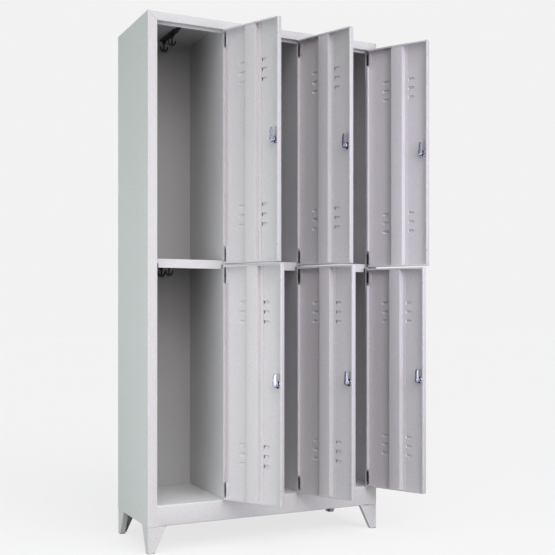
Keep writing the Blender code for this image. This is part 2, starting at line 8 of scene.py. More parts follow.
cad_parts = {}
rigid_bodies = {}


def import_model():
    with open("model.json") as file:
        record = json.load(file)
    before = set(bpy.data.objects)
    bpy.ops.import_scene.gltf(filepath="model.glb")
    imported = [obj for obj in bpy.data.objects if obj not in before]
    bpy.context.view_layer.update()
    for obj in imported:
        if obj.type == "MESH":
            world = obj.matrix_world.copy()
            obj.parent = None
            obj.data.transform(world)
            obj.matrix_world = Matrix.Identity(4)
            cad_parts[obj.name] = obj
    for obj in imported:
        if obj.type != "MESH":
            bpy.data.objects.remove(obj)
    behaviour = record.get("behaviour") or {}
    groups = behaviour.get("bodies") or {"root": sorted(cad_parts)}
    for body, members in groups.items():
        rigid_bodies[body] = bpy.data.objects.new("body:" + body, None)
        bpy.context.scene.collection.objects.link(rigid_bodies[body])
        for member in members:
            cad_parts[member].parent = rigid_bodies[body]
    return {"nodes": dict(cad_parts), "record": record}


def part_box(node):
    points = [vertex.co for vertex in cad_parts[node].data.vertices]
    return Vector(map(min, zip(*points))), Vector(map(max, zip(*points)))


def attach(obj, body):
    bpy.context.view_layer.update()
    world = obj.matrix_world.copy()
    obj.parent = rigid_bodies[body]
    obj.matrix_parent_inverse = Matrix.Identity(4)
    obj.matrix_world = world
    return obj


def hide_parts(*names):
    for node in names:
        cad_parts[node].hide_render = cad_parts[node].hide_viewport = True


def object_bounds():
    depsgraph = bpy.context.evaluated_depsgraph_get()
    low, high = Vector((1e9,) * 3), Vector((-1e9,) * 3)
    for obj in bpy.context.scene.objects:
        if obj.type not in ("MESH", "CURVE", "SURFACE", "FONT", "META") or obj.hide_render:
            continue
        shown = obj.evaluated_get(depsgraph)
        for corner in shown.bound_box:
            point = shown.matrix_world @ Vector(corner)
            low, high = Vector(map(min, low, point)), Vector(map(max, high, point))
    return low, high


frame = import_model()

cad_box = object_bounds()


# Side panels. Each is one sheet of 1 mm steel, folded on a press brake into back flange, wall, stile,
# rabbet and stop ledge. The cabinet is spot welded and then powder coated light grey, with a fine
# orange peel.
SHEET = 0.001
BEND = 0.0019
BEND_STEPS = 5
STILE = 0.034
RABBET = 0.0185
STOP = 0.003
BACK_FLANGE = 0.016
SEAM = 0.0003
OVERRUN = 0.003
SMOOTH_BELOW = 32
COAT_GREY = (0.670, 0.670, 0.678)
COAT_GREY_THIN = (0.615, 0.617, 0.624)
COAT_GREY_MOTTLE = (0.650, 0.660, 0.656)
# Painted shade inside the compartments: its darkest grey, reached this far before the back.
PAINTED_SHADE_GREY_INSIDE = (0.435, 0.440, 0.435)
SHADE_FULL_BEFORE_BACK = 0.05

side_low, side_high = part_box("left_side")
_, right_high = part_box("right_side")
base_low, base_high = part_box("base_pan")
LEFT, RIGHT = side_low.x, right_high.x
FRONT, BACK = side_low.y, side_high.y
SIDE_BOTTOM, HEIGHT = side_low.z, side_high.z
FLOOR_TOP = base_high.z
FRAME_BACK = FRONT + RABBET + SHEET + SEAM
INSIDE_LOW = (LEFT + SHEET / 2, FRONT + RABBET + SHEET / 2, FLOOR_TOP - SHEET / 2)
INSIDE_HIGH = (RIGHT - SHEET / 2, BACK - 2 * SHEET, HEIGHT - SHEET / 2)


def set_inputs(tree, node, settings):
    """Sets each named input of a node to its value, or links it to a socket."""
    for socket, value in settings.items():
        if isinstance(value, bpy.types.NodeSocket):
            tree.links.new(value, node.inputs[socket])
        else:
            node.inputs[socket].default_value = value


def add_node(tree, kind, settings=None, **options):
    node = tree.nodes.new("ShaderNode" + kind)
    for option, choice in options.items():
        setattr(node, option, choice)
    set_inputs(tree, node, settings or {})
    return node


def noise(tree, where, scale, detail=2.0, roughness=0.5):
    settings = {"Vector": where, "Scale": scale, "Detail": detail, "Roughness": roughness}
    return add_node(tree, "TexNoise", settings).outputs["Fac"]


def ranged(tree, value, low=0.0, high=1.0, to_low=0.0, to_high=1.0):
    """A value carried over from one range to another, and held at its ends."""
    settings = {"Value": value, "From Min": low, "From Max": high, "To Min": to_low, "To Max": to_high}
    return add_node(tree, "MapRange", settings).outputs["Result"]


def calculate(tree, operation, *values):
    return add_node(tree, "Math", dict(enumerate(values)), operation=operation).outputs["Value"]


def blend(tree, share, under, over):
    """Two colours mixed, with more of the second where the share is higher."""
    settings = {"Factor": share, "A": under, "B": over}
    return add_node(tree, "Mix", settings, data_type="RGBA").outputs["Result"]


def colour_ramp(tree, value, stops):
    ramp = add_node(tree, "ValToRGB", {"Fac": value})
    elements = ramp.color_ramp.elements
    elements.remove(elements[1])
    for index, (place, tint) in enumerate(stops):
        stop = elements[0] if index == 0 else elements.new(place)
        stop.position = place
        stop.color = (*tint, 1)
    return ramp.outputs["Color"]


def bumps(tree, height, strength, distance):
    settings = {"Height": height, "Strength": strength, "Distance": distance}
    return add_node(tree, "Bump", settings).outputs["Normal"]


def new_material(name):
    """A material, its node tree, its shader and the coordinates of the object that wears it."""
    made = bpy.data.materials.new(name)
    made.use_nodes = True
    tree = made.node_tree
    return made, tree, tree.nodes["Principled BSDF"], add_node(tree, "TexCoord").outputs["Object"]


def powder_coat(name, grey, thin, mottle, over=None):
    """Thick satin paint: fine pits and swells, a faint mottle, and a slightly uneven gloss. A function
    that changes its colour in places can be laid over it."""
    made, tree, shader, where = new_material(name)
    peel = noise(tree, where, scale=330, detail=2.0, roughness=0.55)
    specks = noise(tree, where, scale=190, detail=3.0, roughness=0.6)
    clouds = noise(tree, where, scale=7, detail=3.0, roughness=0.55)
    speckled = colour_ramp(tree, specks, ((0.36, thin), (0.58, grey)))
    mottling = ranged(tree, clouds, low=0.42, high=0.62, to_high=0.45)
    painted = blend(tree, mottling, speckled, (*mottle, 1))
    if over:
        painted = over(tree, where, painted)
    settings = {
        "Base Color": painted,
        "Specular IOR Level": 0.42,
        "Roughness": ranged(tree, clouds, to_low=0.34, to_high=0.50),
        "Normal": bumps(tree, peel, strength=0.35, distance=0.0004),
    }
    set_inputs(tree, shader, settings)
    return made


def painted_shade_inside(tree, where, painted):
    """Painted shade inside the compartments: the coat darkens from the door opening to its darkest a little
    before the back.
    """
    place = add_node(tree, "SeparateXYZ", {"Vector": where})
    shade_share = ranged(tree, place.outputs["Y"], INSIDE_LOW[1], INSIDE_HIGH[1] - SHADE_FULL_BEFORE_BACK)
    for axis, (low, high) in enumerate(zip(INSIDE_LOW, INSIDE_HIGH)):
        within = calculate(tree, "COMPARE", place.outputs[axis], (low + high) / 2, (high - low) / 2)
        shade_share = calculate(tree, "MULTIPLY", shade_share, within)
    return blend(tree, shade_share, painted, (*PAINTED_SHADE_GREY_INSIDE, 1))


# The cabinet's coat, with painted shade darkening the compartments deeper in.
cabinet_coat = powder_coat(
    "cabinet powder coat with painted inside shade", COAT_GREY, COAT_GREY_THIN, COAT_GREY_MOTTLE, painted_shade_inside
)


def as_mesh(form):
    bmesh.ops.recalc_face_normals(form, faces=form.faces)
    if form.calc_volume(signed=True) < 0:
        bmesh.ops.reverse_faces(form, faces=form.faces)
    mesh = bpy.data.meshes.new("sheet")
    form.to_mesh(mesh)
    form.free()
    return mesh


def left_of(heading):
    return Vector((-heading.y, heading.x))


def folded_strip(corners, low, high, upright="Z", bend=BEND):
    """Sheet folded along a line of corners, its second skin to the left, drawn out from low to high."""
    skin = []
    corners = [Vector(corner) for corner in corners]
    for index, corner in enumerate(corners):
        if index in (0, len(corners) - 1):
            start = max(index - 1, 0)
            heading = (corners[start + 1] - corners[start]).normalized()
            skin.append((corner, left_of(heading)))
            continue
        before = (corner - corners[index - 1]).normalized()
        after = (corners[index + 1] - corner).normalized()
        side = 1 if before.cross(after) > 0 else -1
        radius = bend if side > 0 else bend - SHEET
        turn = before.angle(after)
        centre = corner - before * (radius * math.tan(turn / 2)) + left_of(before) * (side * radius)
        for step in range(BEND_STEPS + 1):
            heading = Matrix.Rotation(side * turn * step / BEND_STEPS, 2) @ before
            skin.append((centre - left_of(heading) * (side * radius), left_of(heading)))
    form = bmesh.new()
    rings = []
    for point, normal in skin:
        outer = point + normal * SHEET
        ring = []
        for place, along in ((point, low), (point, high), (outer, high), (outer, low)):
            spot = {"Z": (place.x, place.y, along), "X": (along, place.x, place.y)}[upright]
            ring.append(form.verts.new(spot))
        rings.append(ring)
    for ring, after in zip(rings, rings[1:]):
        for edge in range(4):
            form.faces.new((ring[edge], ring[(edge + 1) % 4], after[(edge + 1) % 4], after[edge]))
    form.faces.new(rings[0])
    form.faces.new(rings[-1])
    return as_mesh(form)


def block(low, high, edge=0.0, steps=2):
    """A box between two corners, its edges rounded where an edge radius is given."""
    form = bmesh.new()
    bmesh.ops.create_cube(form, size=1)
    for vert in form.verts:
        for axis in range(3):
            vert.co[axis] = low[axis] if vert.co[axis] < 0 else high[axis]
    if edge:
        bmesh.ops.bevel(form, geom=form.edges[:], offset=edge, segments=steps, profile=0.5, affect="EDGES")
    return as_mesh(form)


def together(*meshes):
    form = bmesh.new()
    for mesh in meshes:
        form.from_mesh(mesh)
    mesh = bpy.data.meshes.new("sheet")
    form.to_mesh(mesh)
    form.free()
    return mesh


def boolean(mesh, other, operation):
    body = bpy.data.objects.new("body", mesh)
    tool = bpy.data.objects.new("tool", other)
    for thing in (body, tool):
        bpy.context.scene.collection.objects.link(thing)
    step = body.modifiers.new("step", "BOOLEAN")
    step.object = tool
    step.operation = operation
    step.solver = "EXACT"
    made = bpy.data.meshes.new_from_object(body.evaluated_get(bpy.context.evaluated_depsgraph_get()))
    for thing in (body, tool):
        bpy.data.objects.remove(thing, do_unlink=True)
    return made


def cut(mesh, *others):
    for other in others:
        mesh = boolean(mesh, other, "DIFFERENCE")
    return mesh


def mirrored(mesh, middle_x):
    form = bmesh.new()
    form.from_mesh(mesh)
    for vert in form.verts:
        vert.co.x = 2 * middle_x - vert.co.x
    return as_mesh(form)


def set_piece(name, mesh, material, body, replaced=(), place=None):
    """Puts a piece in the scene, smooth over its folds, riding on its body."""
    piece = bpy.data.objects.new(name, mesh)
    bpy.context.scene.collection.objects.link(piece)
    if not mesh.materials:
        mesh.materials.append(material)
        mesh.shade_smooth()
        mesh.set_sharp_from_angle(angle=math.radians(SMOOTH_BELOW))
    if place:
        piece.matrix_world = place
    bpy.context.view_layer.update()
    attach(piece, body)
    if replaced:
        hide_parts(*replaced)


RAIL = 0.030
KNUCKLE_SLOT_HALF = 0.0295
KNUCKLE_SLOT_WIDE = 0.0035
KNUCKLE_SLOT_DEEP = 0.0165
joints = frame["record"]["behaviour"]["joints"]
hinge_places = {joint["child"]: Vector(joint["pos_m"]) for joint in joints if joint["parent"] == "cabinet"}
hinge_nodes = [node for node in frame["nodes"] if node.startswith("hinge_")]


def seam_block(above):
    """The space on one side of the mitre between stile and top rail, as deep as the front frame."""
    start = Vector((LEFT + SHEET + SEAM, HEIGHT))
    run = Vector((LEFT + STILE, HEIGHT - RAIL)) - start
    high, low = start - run / 2, start + run * 2
    shift = Vector((0, -SEAM / 2 if above else SEAM))
    corner = (low.x, high.y) if above else (high.x, low.y)
    form = bmesh.new()
    depths = (FRONT - OVERRUN, FRAME_BACK)
    outline = [Vector(corner) + shift, high + shift, low + shift]
    rings = [[form.verts.new((point.x, depth, point.y)) for point in outline] for depth in depths]
    for near, far in zip(rings[0], rings[0][1:] + rings[0][:1]):
        twin_near, twin_far = (rings[1][rings[0].index(vert)] for vert in (near, far))
        form.faces.new((near, far, twin_far, twin_near))
    form.faces.new(rings[0])
    form.faces.new(rings[1])
    return as_mesh(form)


def knuckle_slots(edge_x):
    """Openings in a post's corner where the hinge knuckles come through."""
    slots = []
    for node in hinge_nodes:
        low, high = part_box(node)
        middle = (low + high) / 2
        if abs(middle.x - edge_x) < STILE / 2:
            near = (edge_x - OVERRUN, FRONT - OVERRUN, middle.z - KNUCKLE_SLOT_HALF)
            far = (edge_x + KNUCKLE_SLOT_WIDE, FRONT + KNUCKLE_SLOT_DEEP, middle.z + KNUCKLE_SLOT_HALF)
            slots.append(block(near, far))
    return together(*slots)


side_fold = [
    (LEFT + BACK_FLANGE, BACK),
    (LEFT, BACK),
    (LEFT, FRONT),
    (LEFT + STILE, FRONT),
    (LEFT + STILE, FRONT + RABBET),
    (LEFT + STILE + STOP, FRONT + RABBET),
]
ledge_foot = block(
    (LEFT + STILE, FRONT + RABBET - OVERRUN, SIDE_BOTTOM - OVERRUN),
    (LEFT + STILE + STOP + OVERRUN, FRONT + RABBET + OVERRUN, FLOOR_TOP + SEAM),
)
side = cut(folded_strip(side_fold, SIDE_BOTTOM, HEIGHT), seam_block(above=True), ledge_foot)
set_piece("left_side_panel", side, cabinet_coat, "cabinet", ["left_side"])
right_side = cut(mirrored(side, (LEFT + RIGHT) / 2), knuckle_slots(RIGHT - STILE))
set_piece("right_side_panel", right_side, cabinet_coat, "cabinet", ["right_side"])


# Back panel and shelves. Plain sheets of the same steel, the shelves with flanges turned down all
# round and a deep lip in the door opening. They take the cabinet's coat and keep the shape of the CAD
# nodes.
def wear(node, material):
    """Gives a CAD node that keeps its shape its finish."""
    piece = frame["nodes"][node]
    piece.data.materials.clear()
    piece.data.materials.append(material)


for node in ("back_panel", "shelf_1", "shelf_2", "shelf_3"):
    wear(node, cabinet_coat)


# Partitions. One sheet makes both the dividing wall and the front post with its two rabbets. It is cut
# away under the top rail and its stop lip, and slotted at the post's corner for the hinge knuckles.
POST = 0.040
TOP_STOP = 0.008

for column in (1, 2):
    low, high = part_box(f"partition_{column}")
    edge = high.x - STOP - POST
    fold = [
        (edge - STOP, high.y),
        (edge - STOP, FRONT + RABBET),
        (edge, FRONT + RABBET),
        (edge, FRONT),
        (edge + POST, FRONT),
        (edge + POST, FRONT + RABBET),
        (edge + POST + STOP, FRONT + RABBET),
    ]
    sheet = folded_strip(fold, low.z, high.z)
    opening_top = HEIGHT - RAIL
    near_x, far_x = edge - STOP - OVERRUN, edge + POST + STOP + OVERRUN
    under_rail = block((near_x, FRONT - OVERRUN, opening_top - SEAM), (far_x, FRAME_BACK, HEIGHT))
    under_lip = block(
        (near_x, FRONT + RABBET - SEAM, opening_top - TOP_STOP - SEAM),
        (far_x, FRAME_BACK, HEIGHT),
    )
    sheet = cut(sheet, under_rail, under_lip, knuckle_slots(edge))
    set_piece(f"partition_sheet_{column}", sheet, cabinet_coat, "cabinet", [f"partition_{column}"])


# Top panel and base pan. Each is folded to the front frame: the top with its rail and the lip that
# the doors close against, the base with the plinth and a return under it. The plinth is welded to
# the stiles and ground flush.
FLANGE = 0.015
PLINTH_RETURN = 0.015
PLINTH_BEND = 0.0034

top_low, top_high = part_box("top_panel")
top_fold = [
    (top_high.y, HEIGHT - FLANGE),
    (top_high.y, HEIGHT),
    (FRONT, HEIGHT),
    (FRONT, HEIGHT - RAIL),
    (FRONT + RABBET, HEIGHT - RAIL),
    (FRONT + RABBET, HEIGHT - RAIL - TOP_STOP),
]
top = folded_strip(top_fold, top_low.x, top_high.x, "X")
corner = seam_block(above=False)
top = cut(top, corner, mirrored(corner, (LEFT + RIGHT) / 2))
left_flange = block(
    (top_low.x, FRAME_BACK, HEIGHT - FLANGE),
    (top_low.x + SHEET, top_high.y - SHEET, HEIGHT - SHEET),
)
top = together(top, left_flange, mirrored(left_flange, (LEFT + RIGHT) / 2))
set_piece("top_sheet", top, cabinet_coat, "cabinet", ["top_panel"])

base_fold = [
    (base_high.y, FLOOR_TOP - FLANGE),
    (base_high.y, FLOOR_TOP),
    (FRONT, FLOOR_TOP),
    (FRONT, SIDE_BOTTOM),
    (FRONT + PLINTH_RETURN, SIDE_BOTTOM),
]
base = folded_strip(base_fold, LEFT + STILE + SEAM, RIGHT - STILE - SEAM, "X", PLINTH_BEND)
wing = block(
    (base_low.x, FRAME_BACK, FLOOR_TOP - SHEET),
    (LEFT + STILE + SEAM, base_high.y, FLOOR_TOP),
)
wing_flange = block(
    (base_low.x, FRAME_BACK, FLOOR_TOP - FLANGE),
    (base_low.x + SHEET, base_high.y, FLOOR_TOP - SHEET),
)
weld = block(
    (LEFT + STILE - BEND, FRONT, SIDE_BOTTOM),
    (LEFT + STILE + SEAM, FRONT + SHEET, FLOOR_TOP - PLINTH_BEND),
)
for half in (wing, wing_flange, weld):
    base = together(base, half, mirrored(half, (LEFT + RIGHT) / 2))
# The base takes the coat without the painted inside shade, so the compartment floors stay lighter.
base_coat = powder_coat("powder coat", COAT_GREY, COAT_GREY_THIN, COAT_GREY_MOTTLE)
set_piece("base_sheet", base, base_coat, "cabinet", ["base_pan"])


# Feet. Pressed corners of 1.5 mm steel, tapered from the cabinet to the floor and welded to its
# underside, coated with the rest. Their soles are scuffed.
SCUFFED_BELOW = 0.014
RUBBED_STEEL = (0.3, 0.3, 0.29)


def scuffed(tree, where, painted):
    """Patches rubbed down to the steel, more of them nearer to the floor."""
    height = add_node(tree, "SeparateXYZ", {"Vector": where}).outputs["Z"]
    low_down = ranged(tree, height, SCUFFED_BELOW, 0.0)
    flakes = noise(tree, where, scale=120, detail=4.0, roughness=0.7)
    patches = calculate(tree, "MULTIPLY", flakes, low_down)
    return blend(tree, ranged(tree, patches, low=0.34, high=0.50), painted, (*RUBBED_STEEL, 1))


foot_coat = powder_coat("scuffed powder coat", COAT_GREY, COAT_GREY_THIN, COAT_GREY_MOTTLE, scuffed)
for node in ("foot_front_left", "foot_front_right", "foot_rear_left", "foot_rear_right"):
    wear(node, foot_coat)


# Hook rails. Moulded in black nylon, screwed to the ceiling of each compartment, with two double
# hooks a rail, each stem webbed where it meets the bar.
HOOK_DROP = 0.034
HOOK_R = 0.015
HOOK_ARM = 0.0045
HOOK_STEM_HALF = 0.0025
HOOK_WEB_HALF = 0.0110
HOOK_WEB_LOW = 0.022
HOOK_TIP_RISE = 0.005
HOOK_THICK = 0.006
HOOK_FROM_END = 0.014
HOOK_SPACING = 0.088
HOOK_EDGE = 0.0014
RAIL_BAR_HALF = 0.006
RAIL_BAR_THICK = 0.007
RAIL_BASE_HALF = 0.011
RAIL_BASE_LONG = 0.145
RAIL_BAR_EDGE = 0.0012
NYLON_BLACK = (0.007, 0.007, 0.008)


def plastic(name, colour, rough):
    """Moulded plastic with a fine spark texture."""
    made, tree, shader, where = new_material(name)
    grain = noise(tree, where, scale=900)
    settings = {
        "Base Color": (*colour, 1),
        "Roughness": ranged(tree, grain, to_low=rough - 0.08, to_high=rough + 0.08),
        "Normal": bumps(tree, grain, strength=0.2, distance=0.0002),
    }
    set_inputs(tree, shader, settings)
    return made


def around(centre, radius, angles):
    across, up = centre
    return [(across + radius * math.cos(angle), up + radius * math.sin(angle)) for angle in angles]


def sweep(centre, radius, start, end, steps):
    """The points of an arc from one angle to another, in degrees."""
    angles = [math.radians(start + (end - start) * step / steps) for step in range(steps + 1)]
    return around(centre, radius, angles)


def slab(outline, low, high, upright, edge=0.0, steps=2):
    """A flat outline with thickness, its rims rounded where an edge radius is given."""
    form = bmesh.new()
    spots = {"X": lambda a, b: (low, a, b), "Y": lambda a, b: (a, low, b), "Z": lambda a, b: (a, b, low)}
    face = form.faces.new([form.verts.new(spots[upright](a, b)) for a, b in outline])
    lift = {"X": (high - low, 0, 0), "Y": (0, high - low, 0), "Z": (0, 0, high - low)}[upright]
    drawn = bmesh.ops.extrude_face_region(form, geom=[face])
    raised = [item for item in drawn["geom"] if isinstance(item, bmesh.types.BMVert)]
    bmesh.ops.translate(form, vec=lift, verts=raised)
    if edge:
        axis = "XYZ".index(upright)
        rims = [rim for rim in form.edges if abs(rim.verts[0].co[axis] - rim.verts[1].co[axis]) < SEAM]
        bmesh.ops.bevel(form, geom=rims, offset=edge, segments=steps, profile=0.5, affect="EDGES")
    return as_mesh(form)


def hook_outline():
    """A double hook seen along the rail, from its left tip round to the right one and up the stem."""
    inner = HOOK_R - HOOK_ARM
    crook_r = (inner - HOOK_STEM_HALF) / 2
    crook_x = HOOK_STEM_HALF + crook_r
    tip = -HOOK_DROP + HOOK_TIP_RISE
    tip_r = HOOK_ARM / 2
    line = sweep((0, -HOOK_DROP), HOOK_R, 180, 360, steps=24)
    line += sweep((HOOK_R - tip_r, tip), tip_r, 0, 180, steps=6)
    line += sweep((crook_x, -HOOK_DROP), crook_r, 0, -180, steps=12)
    line += [(HOOK_STEM_HALF, -HOOK_WEB_LOW), (HOOK_WEB_HALF, -RAIL_BAR_THICK / 2)]
    line += [(-HOOK_WEB_HALF, -RAIL_BAR_THICK / 2), (-HOOK_STEM_HALF, -HOOK_WEB_LOW)]
    line += sweep((-crook_x, -HOOK_DROP), crook_r, 0, -180, steps=12)
    line += sweep((-HOOK_R + tip_r, tip), tip_r, 0, 180, steps=6)
    return line


nylon = plastic("black nylon", NYLON_BLACK, rough=0.55)
for tier in ("upper", "lower"):
    for column in (1, 2, 3):
        node = f"hook_rail_{tier}_{column}"
        low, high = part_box(node)
        long = high.y - low.y
        wide = [(RAIL_BASE_HALF, 0), (RAIL_BASE_HALF, -RAIL_BASE_LONG)]
        narrow = [(RAIL_BAR_HALF, -RAIL_BASE_LONG - RAIL_BAR_HALF), (RAIL_BAR_HALF, -long)]
        plan = wide + narrow
        plan += [(-x, y) for x, y in reversed(plan)]
        bar = slab(plan, -RAIL_BAR_THICK, 0, "Z", RAIL_BAR_EDGE)
        hooks = []
        for at in (-HOOK_FROM_END, -HOOK_FROM_END - HOOK_SPACING):
            hooks.append(slab(hook_outline(), at - HOOK_THICK / 2, at + HOOK_THICK / 2, "Y", HOOK_EDGE))
        place = Matrix.Translation(((low.x + high.x) / 2, high.y, high.z))
        hooked_bar = together(bar, *hooks)
        set_piece(f"hooks_{tier}_{column}", hooked_bar, nylon, "cabinet", [node], place)


# Doors. Each is a pan folded from one sheet, with a narrow lip turned in all round, mitred at its
# corners, twelve louvres pressed outwards, and hinge eyes welded into its corner. The doors' batch of
# powder is a shade more lilac than the cabinet's.
DOOR_THICK = 0.018
DOOR_GAP = 0.002
DOOR_LIP = 0.005
LOUVRE_LONG = 0.026
LOUVRE_HIGH = 0.014
LOUVRE_RISE = 0.005
LOUVRE_STEP = 0.033
LOUVRE_OFF_CENTRE = 0.0395
LOUVRE_GROUP_Z = 0.245
LOUVRE_PROFILE = ((1.00, 0.00), (0.95, 0.42), (0.84, 0.78), (0.62, 1.00))
LOUVRE_STATIONS = 8
LOUVRE_STRAIGHT = 0.55
LOUVRE_ROUNDED = 0.45
LOUVRE_DIP = 0.22
LOUVRE_TAIL = 0.45
MITRE_SLIT_HALF = 0.0003
MITRE_SLIT_DEEP = 0.0014
MITRE_SLIT_FROM = -0.001
MITRE_SLIT_TO = 0.0105
HINGE_INSET = 0.032
HINGE_CUT_HALF = 0.030
LOCK_FROM_EDGE = 0.026
LOCK_HOLE_R = 0.0094
DOOR_GREY = (0.682, 0.666, 0.688)
DOOR_GREY_THIN = (0.627, 0.614, 0.634)
DOOR_GREY_MOTTLE = (0.661, 0.655, 0.665)

opening_wide = hinge_places["upper_door_2"].x - hinge_places["upper_door_1"].x - POST
door_near = -DOOR_GAP / 2
door_far = door_near - (opening_wide - 2 * DOOR_GAP)
door_low, door_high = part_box("door_upper_1")
door_half = (door_high.z - door_low.z) / 2
door_middle = (door_near + door_far) / 2
lock_x = door_far + LOCK_FROM_EDGE
hinge_middles = [way * (door_half - HINGE_INSET) for way in (-1, 1)]


def scoop(side, middle, floor, rise, shrink, start):
    """One louvre: an arch that dips and narrows in a round curve towards its closed end."""
    points = []
    for step in range(LOUVRE_STATIONS + 1):
        share = step / LOUVRE_STATIONS
        round_off = math.sqrt(max(0, 1 - max(0, (share - LOUVRE_STRAIGHT) / LOUVRE_ROUNDED) ** 2))
        dip = (1 - LOUVRE_DIP * share) * round_off
        along = start + (LOUVRE_LONG - shrink - start) * share
        half = (LOUVRE_HIGH / 2 - shrink) * (LOUVRE_TAIL + (1 - LOUVRE_TAIL) * round_off)
        x = door_middle + side * (LOUVRE_OFF_CENTRE + along)
        for wide, lift in LOUVRE_PROFILE:
            for way in (-1, 1):
                points.append((x, floor + rise * lift * dip, middle + way * half * wide))
    form = bmesh.new()
    for point in points:
        form.verts.new(point)
    bmesh.ops.remove_doubles(form, verts=form.verts, dist=SEAM / 10)
    bmesh.ops.convex_hull(form, input=form.verts)
    loose = [vert for vert in form.verts if not vert.link_faces]
    bmesh.ops.delete(form, geom=loose, context="VERTS")
    return as_mesh(form)


def disc(centre, radius, low, high, sides=32, edge=0.0, upright="Y"):
    """A round plate of so many sides, square to one axis."""
    angles = [2 * math.pi * (step + 0.5) / sides for step in range(sides)]
    return slab(around(centre, radius, angles), low, high, upright, edge)


def lip_mitre(x, z, way_x, way_z):
    """The slit where two turned-in lips meet at a corner of the pan."""
    slit = block(
        (-MITRE_SLIT_HALF, DOOR_THICK - MITRE_SLIT_DEEP, MITRE_SLIT_FROM),
        (MITRE_SLIT_HALF, DOOR_THICK + SHEET, MITRE_SLIT_TO),
    )
    turn = Matrix.Rotation(math.atan2(way_x, way_z), 4, "Y")
    slit.transform(Matrix.Translation((x, 0, z)) @ turn)
    return slit


def door_pan():
    pan = block((door_far, 0, -door_half), (door_near, DOOR_THICK, door_half), BEND, steps=4)
    inside = block(
        (door_far + SHEET, SHEET, -door_half + SHEET),
        (door_near - SHEET, DOOR_THICK - SHEET, door_half - SHEET),
        BEND - SHEET,
    )
    rim = SHEET + DOOR_LIP
    mouth = block(
        (door_far + rim, DOOR_THICK - 2 * SHEET, -door_half + rim),
        (door_near - rim, DOOR_THICK + SHEET, door_half - rim),
    )
    pan = cut(pan, inside, mouth)
    mitres = []
    for x, way_x in ((door_far + SHEET, 1), (door_near - SHEET, -1)):
        for z, way_z in ((-door_half + SHEET, 1), (door_half - SHEET, -1)):
            mitres.append(lip_mitre(x, z, way_x, way_z))
    pan = cut(pan, together(*mitres))
    scoops, hollows = [], []
    for side in (-1, 1):
        for group in (-1, 1):
            for row in (-1, 0, 1):
                z = group * LOUVRE_GROUP_Z + row * LOUVRE_STEP
                scoops.append(scoop(side, z, SHEET / 2, -LOUVRE_RISE - SHEET / 2, shrink=0, start=0))
                hollows.append(scoop(side, z, 2 * SHEET, -LOUVRE_RISE - SHEET, shrink=SHEET, start=-SEAM))
    pan = cut(boolean(pan, together(*scoops), "UNION"), together(*hollows))
    notches = []
    for middle in hinge_middles:
        low = (door_near - rim, SHEET, middle - HINGE_CUT_HALF)
        notches.append(block(low, (door_near + SHEET, DOOR_THICK + SHEET, middle + HINGE_CUT_HALF)))
    return cut(pan, together(*notches), disc((lock_x, 0), LOCK_HOLE_R, -SHEET, 2 * SHEET))


# Stiffeners. A hat section runs up the middle of each door, spot welded through its two feet, and
# coated with the door.
HAT_FLAT = 0.046
HAT_BASE = 0.053
HAT_FOOT = 0.012
HAT_DEPTH = 0.0155
WELD_STEP = 0.080
WELD_R = 0.0024
WELD_FROM_MIDDLE = 0.0331
WELD_RAISED = 0.00025


def stiffener():
    floor = SHEET + SEAM
    line = [
        (door_middle + HAT_BASE / 2 + HAT_FOOT, floor + SHEET),
        (door_middle + HAT_BASE / 2, floor + SHEET),
        (door_middle + HAT_FLAT / 2, floor + HAT_DEPTH),
        (door_middle - HAT_FLAT / 2, floor + HAT_DEPTH),
        (door_middle - HAT_BASE / 2, floor + SHEET),
        (door_middle - HAT_BASE / 2 - HAT_FOOT, floor + SHEET),
    ]
    half = door_half - SHEET - SEAM
    hat = folded_strip(line, -half, half)
    welds = []
    count = int(half // WELD_STEP)
    for row in range(-count, count + 1):
        for side in (-1, 1):
            centre = (door_middle + side * WELD_FROM_MIDDLE, row * WELD_STEP)
            welds.append(disc(centre, WELD_R, floor + SHEET - SEAM, floor + SHEET + WELD_RAISED, sides=16))
    return together(hat, *welds)


door_coat = powder_coat("door powder coat", DOOR_GREY, DOOR_GREY_THIN, DOOR_GREY_MOTTLE)
pan_mesh = door_pan()
stiffener_mesh = stiffener()
door_places = {}
for tier in ("upper", "lower"):
    for column in (1, 2, 3):
        body = f"{tier}_door_{column}"
        cam_axis = next(joint["axis"] for joint in joints if joint["child"] == f"{tier}_cam_{column}")
        angle = math.atan2(cam_axis[0], -cam_axis[1])
        place = Matrix.Translation(hinge_places[body]) @ Matrix.Rotation(angle, 4, "Z")
        door_places[body] = place
        label = f"{tier}_{column}"
        set_piece(f"door_pan_{label}", pan_mesh, door_coat, body, [f"door_{label}"], place=place)
        set_piece(f"door_hat_{label}", stiffener_mesh, door_coat, body, [f"stiffener_{label}"], place=place)


# Buffers. Two thin dots of clear grey rubber, stuck on the lip of each door's free edge, where the
# door meets its stop when it shuts.
BUFFER_R = 0.0023
BUFFER_THICK = 0.0004
BUFFER_FROM_END = 0.056
BUFFER_GREY = (0.45, 0.45, 0.46)

rubber = plastic("grey rubber", BUFFER_GREY, rough=0.30)
dots = []
for way in (-1, 1):
    centre = (door_far + SHEET + DOOR_LIP / 2, way * (door_half - BUFFER_FROM_END))
    dots.append(disc(centre, BUFFER_R, DOOR_THICK, DOOR_THICK + BUFFER_THICK, sides=20))
dot_mesh = together(*dots)
for body, place in door_places.items():
    set_piece(f"buffers_{body}", dot_mesh, rubber, body, place=place)


